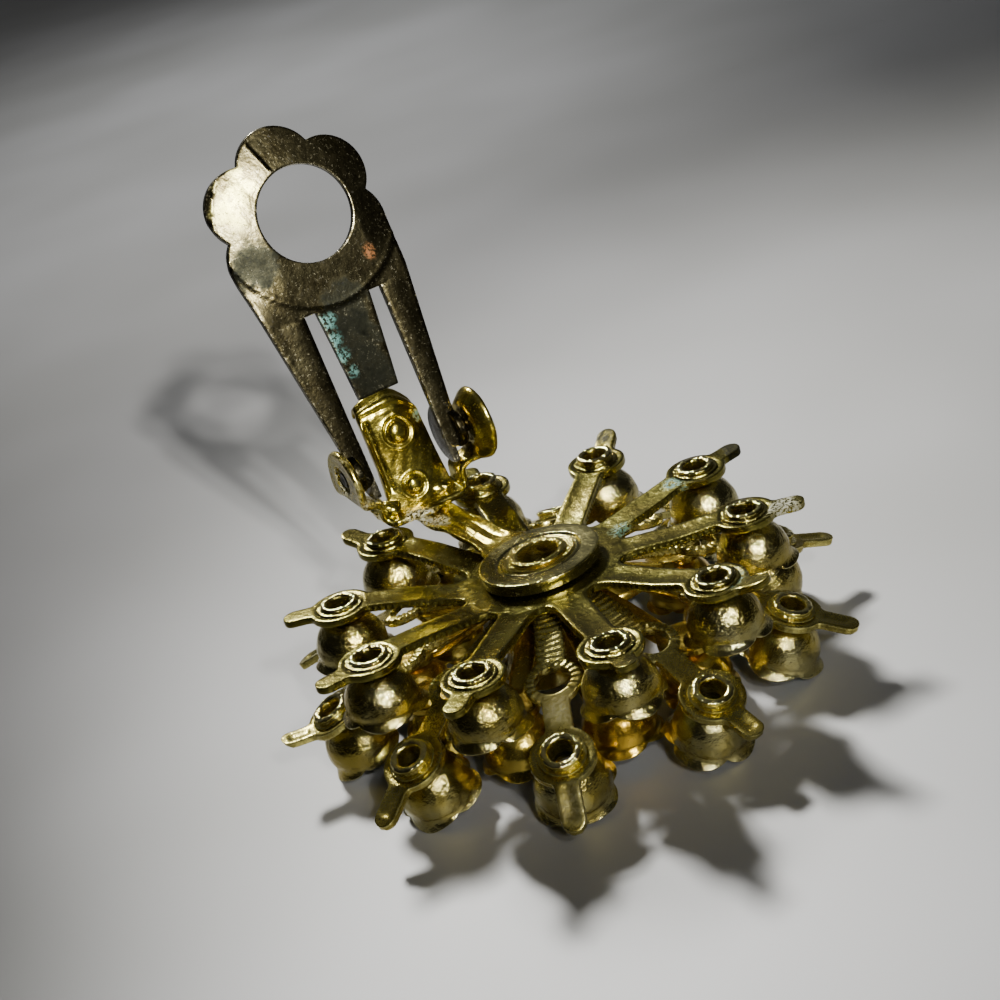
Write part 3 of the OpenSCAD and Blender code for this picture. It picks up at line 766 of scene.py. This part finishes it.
def strap(shell):
    """Central strap: leans back from its foot, bowed forward, with a rolled left edge and two pressed dots,
    its top curled over backwards in two beads and cut away on the right."""
    height, curl_r = PIVOT_H + 1.9, 0.41
    curl = circle(radians(linspace(180, 5, 26)[1:])) * curl_r + [curl_r, height]
    line = resample(vstack([[[0.0, 0.0], [0.0, height]], curl]), 0.06)
    length, side = lengths(line), normals_of(line)

    def relief(place, across):
        """Two domes in ring dimples, the beads of the curl, the rolled edge and faint hammering."""
        off = 0.01 * sin(3.1 * across + 2.3 * place) + 0.006 * sin(9 * across - 5 * place)
        for at, aside, radius in ((4.2, 0.0, 0.6), (1.15, -0.25, 0.5)):
            away = hypot(place - at, across - aside) / radius
            off = off + 0.24 * sqrt(clip(1 - away**2, 0, 1)) * radius / 0.5
            off = off - 0.07 * ridge(away, 1.18, 0.16) + 0.03 * ridge(away, 1.55, 0.15)
        for at, rise in ((0.16, 0.06), (0.5, 0.08), (0.33, -0.07), (-0.05, -0.05)):
            off = off + rise * ridge(place, height + at, 0.09)
        rolled = 0.2 * ridge(across, -1.8, 0.13) - 0.08 * ridge(across, -1.48, 0.15)
        return off + bump_between(place, 1.6, height - 0.6, 0.5) * rolled

    def stand(points):
        """Arches the top, leans the strap back and sets its foot on the base."""
        x, y, z = split(points)
        sag = where(x > 0, 1.15 * clip((x - 0.1) / 1.75, 0, 1.2) ** 2, 0.1 * (x / 1.9) ** 2)
        z = z - sag * ease((z - 2.6) / (height - 2.6))
        y = y + 0.1 * clip(x, 0, 2) ** 2 * ease((z - 2.0) / 3.5)
        c, s = cos(STRAP_LEAN), sin(STRAP_LEAN)
        return placed(coords(x, y * c + z * s, z * c - y * s) + STRAP_FOOT, CLIP)

    loops = []
    for place, (y, z), (ny, nz) in zip(length, line, side):
        half = 1.95 - 0.17 * ease(place / 3.0) - 0.12 * ease((place - height) / 0.6)
        across, face = rounded_loop(half, 0.36, 0.14, 61).T
        off = face + 0.34 * (1 - (across / half) ** 2) + where(face > 0, relief(place, across), 0)
        loops.append(coords(across, y + ny * off, z + nz * off))
    add_strip(shell, loops, stand, 0.5, 0.6, (1, 0.5, 0))


def solder(shell):
    """Lumpy solder at the strap's feet and the strip's end: squashed balls with seeded waves."""
    u, v = linspace(0, pi, 26)[:, None], angles(40).T
    for centre, radii in (((1.35, -0.05, 0.95), (0.75, 0.45, 0.42)), ((-1.95, 0.0, 1.05), (0.75, 0.6, 0.55)),
                          ((-2.55, 0.1, 1.55), (0.45, 0.6, 0.5)), ((-0.2, -1.15, 0.62), (0.95, 0.5, 0.26)),
                          ((0.75, -0.75, 0.6), (0.55, 0.5, 0.26))):
        p, q, w = rng.uniform(0, 6, 3)
        r = (1 + 0.1 * sin(3 * v + 2 * u + p) * sin(u) + 0.07 * cos(5 * v - 3 * u + q) * sin(u)
             + 0.05 * sin(8 * u + w) * cos(7 * v) * sin(u) ** 2)
        ball = coords(r * sin(u) * cos(v), r * sin(u) * sin(v), r * cos(u))
        shell.grid(placed(ball * radii + centre, CLIP), 0.7, closed="c")


HEAD_H, HEAD_SHIFT, PAD_HOLE = 13.7, -0.35, 2.6
LOBE_R, LOBE_OFF = 2.14, 2.81
PADDLE_T, PADDLE_INSET = 0.45, 0.05
SLOT_TOP, SLOT_OUT, SLOT_IN = 8.7, 2.3, 1.62
TONGUE_H = 3.5
CREASE = radians(18)


def lobed_radius(angle, sharp=26.0):
    """Distance from the lobes' centre to the scalloped edge, at an angle from straight up: the farthest
    lobe circle along that ray, its valleys slightly rounded."""
    d = angle - radians([-120, -60, 0, 60, 120])[:, None]
    inside = LOBE_R**2 - (LOBE_OFF * sin(d)) ** 2
    reach = LOBE_OFF * cos(d) + sqrt(clip(inside, 0, None))
    reach = where((inside > 0) & (cos(d) > 0), reach, 0)
    return np.log(exp(sharp * (reach - 5)).sum(0)) / sharp + 5


def leg_edge(h, side):
    """Across place of a leg's outer edge, less the inset, at a height above the hinge: side 1 is right."""
    right = interp(h, [-1.0, 1.4, 9.4, 11.5, 12.295], [3.4, 3.4, 4.17, 4.21, 4.224])
    left = interp(h, [-1.0, 1.4, 9.8, 11.5, 12.295], [3.4, 3.4, 4.64, 4.86, 4.924])
    return side * ((right if side > 0 else left) - PADDLE_INSET)


def paddle(shell):
    """Lever: scalloped head with an embossed step round its hole, two legs and a spring tongue."""
    inset, join_h, cols = PADDLE_INSET, 10.6, 41
    angle = linspace(-1, 1, 190) * radians(107)
    rim = lobed_radius(angle) - inset
    lobes = coords(HEAD_SHIFT + rim * sin(angle), HEAD_H + rim * cos(angle))
    left_h = linspace(join_h, lobes[0, 1], 14)[:-1]
    right_h = linspace(lobes[-1, 1], join_h, 14)[1:]
    head_edge = vstack([coords(leg_edge(left_h, -1), left_h), lobes, coords(leg_edge(right_h, 1), right_h)])
    share = linspace(0, 1, cols)
    join = head_edge[-1] + (head_edge[0] - head_edge[-1]) * share[:, None]
    loop = vstack([head_edge, join[1:-1]])
    from_hole = loop - [0, HEAD_H]
    hole = circle(arctan2(*from_hole.T))[:, ::-1] * (PAD_HOLE + inset) + [0, HEAD_H]
    rows = linspace(0, 1, 22)[:, None, None]
    head = hole + (loop - hole) * rows

    # Below the head: rows down to the slots' top, then the legs and the tongue by themselves
    top = SLOT_TOP + inset
    marks = [leg_edge(SLOT_TOP, -1), -SLOT_OUT - inset, inset - SLOT_IN, SLOT_IN - inset, SLOT_OUT + inset,
             leg_edge(SLOT_TOP, 1)]
    low_row = coords(interp(np.arange(cols), [0, 8, 11, 29, 32, 40], marks), top)
    shoulder = join[::-1] + (low_row - join[::-1]) * rows
    for row in shoulder[1:]:
        for end, side, part in ((0, -1, (1 - share) ** 3), (-1, 1, share**3)):
            row[:, 0] += (leg_edge(row[end, 1], side) - row[end, 0]) * part
    q = linspace(0, pi / 2, 8)[1:]
    foot_h, foot_x, foot_r = -0.4, 2.85, 0.55 - inset
    leg_h = np.r_[linspace(top, foot_h, 60), foot_h - foot_r * sin(q)][:, None]

    def leg(side):
        """Grid of one leg from the slot's top to its round end, between its outer edge and the slot."""
        outer, inner = side * leg_edge(leg_h, side), SLOT_OUT + inset + 0 * leg_h
        outer[-7:, 0], inner[-7:, 0] = foot_x + foot_r * cos(q), foot_x - foot_r * cos(q)
        return coords(side * (outer + (inner - outer) * linspace(0, 1, 9)), leg_h)

    left_leg, right_leg = leg(-1), leg(1)[:, ::-1]
    tongue_h = linspace(top, TONGUE_H + inset, 40)[:, None]
    tongue_half = interp(tongue_h, [TONGUE_H, SLOT_TOP], [1.2, SLOT_IN]) - inset
    tongue = coords(tongue_half * linspace(-1, 1, 19), tongue_h)

    def lift(flat):
        """Embossed step round the hole and a pressed radial crease in the top lobe."""
        x, h = flat[..., 0], flat[..., 1] - HEAD_H
        away = hypot(x, h)
        crease = ridge(h * sin(CREASE) + x * cos(CREASE), 0, 0.05) * (h > 0)
        crease = crease * bump_between(away, 2.9, 4.6, 0.2)
        return -0.05 * ease((away - 4.93) / 0.13) + 0.05 * crease + 0.04 * ridge(away, 4.93, 0.09)

    def bow(x, h):
        """Bends out of the plane: the head is domed, folded back left of the crease, the tongue springs
        back, the legs are crowned."""
        up, low = h - HEAD_H, h < 8.6
        spring = -0.02 * clip(8.9 - h, 0, None) ** 1.6 - 0.06 * clip(1 - (x / 1.6) ** 2, 0, 1) * low
        crown = 0.05 * sin(clip((abs(x) - 2.3) / 1.4, 0, 1) * pi)
        fade = where(up > 0, 1, ease((h - 9.0) / 3))
        past_hole = where(up > 0, x**2 + up**2, x**2) - PAD_HOLE**2
        behind = clip(-(up * sin(CREASE) + x * cos(CREASE)), 0, 1.6) * (up > -1) * ease((up + 1) / 3)
        return (where((abs(x) < 1.7) & (h < 8.75), spring, 0) + where((abs(x) > 2.25) & low, crown, 0)
                - 0.024 * clip(past_hole, 0, None) * fade - 0.07 * behind)

    def bend(flat, depth):
        """Stands a flat point in the paddle's plane, off it by the bow and the depth."""
        x, h = split(flat)
        return placed(coords(x, h, bow(x, h) + depth + PADDLE_T / 2), PADDLE)

    for patch in (head, shoulder, left_leg, right_leg, tongue):
        for depth, wear in ((0, 0.35), (-PADDLE_T, 0.4)):
            shell.grid(bend(patch, lift(patch) + depth), wear, "c" if patch is head else "")

    # The slots end in the shoulder's last row, between its marks
    left_slot, right_slot = shoulder[-1, 10:8:-1], shoulder[-1, 31:28:-1]
    around = vstack([
        left_leg[::-1, 0], shoulder[::-1, 0][1:], head_edge[1:], shoulder[1:, -1], right_leg[1:, -1],
        right_leg[-2::-1, 0], right_slot, tongue[1:, -1], tongue[-1, -2::-1], tongue[-2::-1, 0],
        left_slot, left_leg[:-1, -1]])
    for line, flip in ((hole, -1), (around, 1)):
        step = (EDGE[:, 0] - EDGE[0, 0]) * flip * inset / 0.06
        depth = (EDGE[:, 1] * PADDLE_T / 0.4)[:, None] + lift(line)
        shell.grid(bend(line + normals_of(line, True) * step[:, None, None], depth), PADDLE_WEAR, closed="c")


def lugs(shell):
    """Hinge lugs: a half-round plate bent back from each leg, a thick disc and a stud through the ear."""
    q = linspace(0, pi / 2, 5)
    disc = vstack([
        [[0.0, 2.93]], circle(q)[:, ::-1] * [0.1, -0.1] + [0.95, 3.03], circle(q) * 0.1 + [0.95, 3.3],
        [[0.62, 3.42], [0.46, 3.45], [0.44, 3.82]], circle(q) * [0.08, 0.07] + [0.36, 3.82],
        [[0.2, 3.86], [0.0, 3.83]]])
    rim = 1.68 * circle(radians(linspace(-96, 96, 49)))
    rim[:, 0] = np.maximum(rim[:, 0], -PADDLE_T / 2 + 0.04)
    # The plate's section: share of the rim, place across and wear
    section = ((0.0, 2.3, 0.4), (0.5, 2.3, 0.4), (0.95, 2.3, 0.7), (1.0, 2.36, 1), (1.0, 2.62, 1),
               (0.95, 2.7, 0.7), (0.5, 2.7, 0.4), (0.0, 2.7, 0.4))
    for mirror in (1, -1):
        turned = lathe(*disc.T, 48)[..., [2, 0, 1]] * [mirror, 1, 1]
        shell.grid(placed(turned, PADDLE), 0.6, closed="r")
        plate = stack([coords(mirror * across, rim[:, 1] * share, -rim[:, 0] * share)
                       for share, across, _ in section])
        shell.grid(placed(plate, PADDLE), np.array(section)[:, 2:], closed="c")


# Camera, floor and light

CAMERA_LIFT = radians(26.7)
CAMERA_ROLL = radians(16.15)
CAMERA_AWAY = 100.0
FOCAL_PX, FRAME_PX = 1970.0, 1000.0
HUB_PX = (539.5, 559.0)


def camera():
    """Camera aimed along the fitted line of sight at the hub, rolled, with the hub off the middle."""
    data = bpy.data.cameras.new("camera")
    data.sensor_width = 36.0
    data.lens = data.sensor_width * FOCAL_PX / FRAME_PX
    data.shift_x, data.shift_y = 0.5 - HUB_PX[0] / FRAME_PX, HUB_PX[1] / FRAME_PX - 0.5
    data.clip_start, data.clip_end = 0.001, 10.0
    turn = Matrix.Rotation(pi / 2 - CAMERA_LIFT, 4, "X") @ Matrix.Rotation(-CAMERA_ROLL, 4, "Z")
    hub, back = (Matrix.Translation((0, 0, z * MM)) for z in (STAR_Z, CAMERA_AWAY))
    eye = put("camera", data)
    eye.matrix_world = hub @ turn @ back
    bpy.context.scene.camera = eye


def floor():
    """Pale satin surface, 6 m wide, with a patch painted dark in front of the part, beyond the camera's view:
    painted shade, so that the metal reflects a dark room there."""
    f = Finish("pale_surface_painted_shade")
    x, y = f.place.axis("X"), f.place.axis("Y")
    # near is a mask of painted shade: a dark patch on the floor in front of the part and out of view, for the
    # cups to reflect
    near = (y.between(-0.075, -0.034) * (x - y * 0.35).between(0.065, 0.03)
            * (x + y * 0.1).between(-0.075, -0.038))
    pale = f.mix(f.noise(45, 2.0).between(0.3, 0.7), (0.44, 0.44, 0.43), (0.54, 0.54, 0.54))
    # The grey (0.12, 0.12, 0.12) is the colour of that painted shade
    f.set(Base_Color=f.mix(near, (0.12, 0.12, 0.12), pale), Roughness=0.6, Metallic=0.75,
          Specular_IOR_Level=0.35)
    mesh = bpy.data.meshes.new("floor")
    side = 3.0
    corners = [(-side, -side, 0), (side, -side, 0), (side, side, 0), (-side, side, 0)]
    mesh.from_pydata(corners, [], [(0, 1, 2, 3)])
    mesh.materials.append(f.material)
    put("floor", mesh)


def area_light(name, azimuth, rise, away, past, aim, size_mm, power, spread, tint):
    """Soft rectangular light, away mm from the point past at an azimuth and a rise in degrees, turned to
    the point aim."""
    data = bpy.data.lights.new(name, "AREA")
    data.shape = "RECTANGLE"
    data.size, data.size_y = size_mm[0] * MM, size_mm[1] * MM
    data.energy, data.color, data.spread = power, tint, radians(spread)
    a, e = radians(azimuth), radians(rise)
    place = Vector(past) + Vector((cos(e) * cos(a), cos(e) * sin(a), sin(e))) * away
    lamp = put(name, data)
    lamp.location = place * MM
    lamp.rotation_euler = (Vector(aim) - place).to_track_quat("-Z", "Y").to_euler()


def lights():
    """Key behind on the left, weak fill at the back, weak lamp near the front, three small lamps in front
    that shine past the paddle to the back, and a dim room, lighter behind the part."""
    hole, back, warm = (-7, 13, 24), (-24, 90, 0), (1.0, 0.98, 0.95)
    area_light("key", 110, 42, 260, (8, -2, 0), (112, -84, 0), (36, 36), 0.185, 48, (1.0, 0.99, 0.96))
    area_light("fill_back", 90, 70, 260, (-10, 165, 0), (-10, 165, 0), (60, 60), 0.022, 44, (0.98, 0.99, 1.0))
    area_light("lamp_near", -78, 29, 150, (2, -8, 3), (2, -4, 3), (9, 12), 0.0013, 24, warm)
    for name, azimuth, rise, power in (
            ("low", -74, 28, 0.016), ("mid", -72, 30, 0.019), ("high", -75, 33, 0.012)):
        area_light("lamp_" + name, azimuth, rise, 200, hole, back, (5, 7), power, 29, warm)
    world = bpy.data.worlds.new("room")
    world.use_nodes = True
    tree = world.node_tree
    way = add_node(tree, "TexCoord", {}, {}, "Generated")
    level = 0.01 + way.axis("Y").between(0.1, 0.95) * 0.072 + way.axis("Z").between(0.75, 1.0) * 0.04
    plug(tree.nodes["Background"].inputs["Strength"], level)
    plug(tree.nodes["Background"].inputs["Color"], (0.96, 0.98, 1.0))
    bpy.context.scene.world = world


camera()
floor()
lights()


# Finishes

def on_paddle(x, h, r, out=0.2):
    """Spot of radius r, x across from the paddle's middle, h up from the hinge, out in front of it."""
    return (*placed(np.array([x, h, out]), PADDLE), r)


def at_clip(across, out, up, r):
    """Spot of radius r in the clip's own directions, up from the star."""
    return (*placed(np.array([across, out, up]), CLIP), r)


def on_strap(x, h, r):
    """Spot of radius r on the strap's front, x across and h up from its foot."""
    across, out, up = STRAP_FOOT
    return at_clip(x + across, out + h * sin(STRAP_LEAN), up + h * cos(STRAP_LEAN), r)


star_gold = gilt(
    "star_gold", (0.21, 0.19, 0.038), (0.15, 0.125, 0.022), (0.035, 0.028, 0.008), (0.42, 0.35, 0.07),
    0.21, speckle=0.35, grain=1.6, grime=0.45,
    green=[(8.1, -7.4, STAR_Z, 1.5), (4.5, 1.4, STAR_Z - 0.4, 0.9), (7.9, 4.3, STAR_Z, 1.0)],
    white=[(12.4, -2.0, STAR_Z, 1.3)],
    # The darkest spots darken the tips of three tabs
    soot=[(5.4, 13.6, STAR_Z, 2.5), (12.1, 6.2, STAR_Z, 1.5), (14.0, -1.7, STAR_Z, 0.6)])
middle_gold = gilt(
    "middle_gold", (0.54, 0.48, 0.14), (0.44, 0.35, 0.07), (0.05, 0.035, 0.01), (0.8, 0.72, 0.24),
    0.24, speckle=0.4,
    bloom=[(-1.0, -9.9, 4.6, 1.7), (-1.6, -14.8, 2.6, 1.7)], rust=[(4.9, -9.9, 4.7, 0.6)])
# The front star's saturated amber is partly its gilt and partly painted light: a warm glow in place of light
# bounced between the gold parts
front_gold_painted_glow = gilt(
    "front_gold_painted_glow", (0.66, 0.5, 0.09), (0.6, 0.38, 0.04), (0.1, 0.06, 0.012), (1.0, 0.8, 0.144),
    0.2, grime=0.3)
cup_gold = gilt(
    "cup_gold", (0.5, 0.455, 0.19), (0.46, 0.365, 0.07), (0.035, 0.027, 0.01), (0.85, 0.78, 0.4),
    0.13, grime=0.9, wave=2.0, grain=2.6, dull=(0.34, 0.29, 0.07), rivet=(0.72, 0.62, 0.16))
clip_gold = gilt(
    "clip_gold", (0.5, 0.43, 0.075), (0.4, 0.3, 0.035), (0.07, 0.055, 0.015), (0.85, 0.76, 0.25),
    0.17, grime=0.7, dull=(0.46, 0.42, 0.17), speckle=0.35, green=[on_strap(1.53, 4.51, 0.5)],
    white=[at_clip(-1.0, -1.2, 0.6, 0.9), at_clip(-0.2, -2.2, 0.5, 0.9), at_clip(-4.1, -0.3, 3.5, 2.6)],
    rust=[on_strap(1.6, 0.9, 0.6)])
# The paddle's near-black base colours are partly dark tarnish and partly a painted dark reflection of the
# room, in place of the lit floor that brass would reflect here
paddle_tarnish_and_painted_dark = gilt(
    "paddle_tarnish_and_painted_dark", (0.04, 0.035, 0.017), (0.024, 0.02, 0.009), (0.008, 0.007, 0.004), (0.55, 0.5, 0.32),
    0.22, grime=0.9, speckle=0.8, wave=0.6, flecks=0.22,
    # The darkest spots darken the tongue down its middle, and a patch on the head's lower left that is
    # painted shade hiding the lit floor's reflection there
    soot=[on_paddle(0.1, h, 1.7) for h in (8.3, 6.6, 4.9, 3.4)] + [on_paddle(-3.6, 12.2, 1.5)],
    # Two pale patches on the head's upper left: a painted highlight in place of the lamps' reflection on the
    # domed head
    bare=[on_paddle(-3.7, 15.6, 1.8, 1.2), on_paddle(-2.7, 16.4, 1.6, 1.1)],
    green=[on_paddle(-1.3, 8.1, 0.7), on_paddle(-1.35, 7.0, 0.6), on_paddle(-1.2, 6.0, 0.6),
           on_paddle(-0.9, 5.1, 0.5)],
    rust=[on_paddle(2.49, 10.58, 0.5)])
glass = crystal()

# Pieces
for builders, *facts in (
        ([star_back], "back_star_plate", star_gold, "cluster", "gilt_brass", "star_back"),
        ([star_middle], "middle_star_plate", middle_gold, "cluster", "gilt_brass", "star_middle"),
        ([star_front], "front_star_with_cups", front_gold_painted_glow, "cluster", "gilt_brass", "star_front"),
        ([centre_cup], "centre_bell", cup_gold, "cluster", "cup_metal", "centre_cup"),
        ([washer, strip_to_hub, bracket_walls, strap, solder],
         "bracket_gilt", clip_gold, "cluster", "clip_gold", "clip_bracket"),
        ([paddle, lugs], "paddle_lever", paddle_tarnish_and_painted_dark, "paddle", "paddle_brass", "clip_paddle")):
    shell = Shell()
    for build in builders:
        build(shell)
    shell.make(*facts)
for i in range(2 * ARMS):
    on_mid = i >= ARMS
    if on_mid:
        seat = seat_matrix(MID_TURN + (i - ARMS) * STEP, MID["seat_at"], MID_DROP, MID_LEAN)
    else:
        seat = seat_matrix(BACK_TURN + i * STEP, BACK["seat_at"], 0.0, 0.0)
    cup, wear, tone = bell(rng.uniform(0, 1.5), rng.uniform(0.85, 1.05), rng.uniform(0.0, 0.05),
                           eyelet=rng.uniform(0.4, 0.5) if on_mid else EYELET_RISE[i])
    shell = Shell()
    shell.grid(placed(cup, seat), wear, closed="rc", tone=tone * (1.0 if on_mid else 0.4))
    shell.make(f"cup_bell_{i + 1:02d}", cup_gold, "cluster", "cup_metal", f"cup_{i + 1:02d}")
for name in ["centre_stone"] + [f"stone_{i + 1:02d}" for i in range(3 * ARMS)]:
    stone = frame["nodes"][name]
    stone.data.materials.clear()
    stone.data.materials.append(glass)
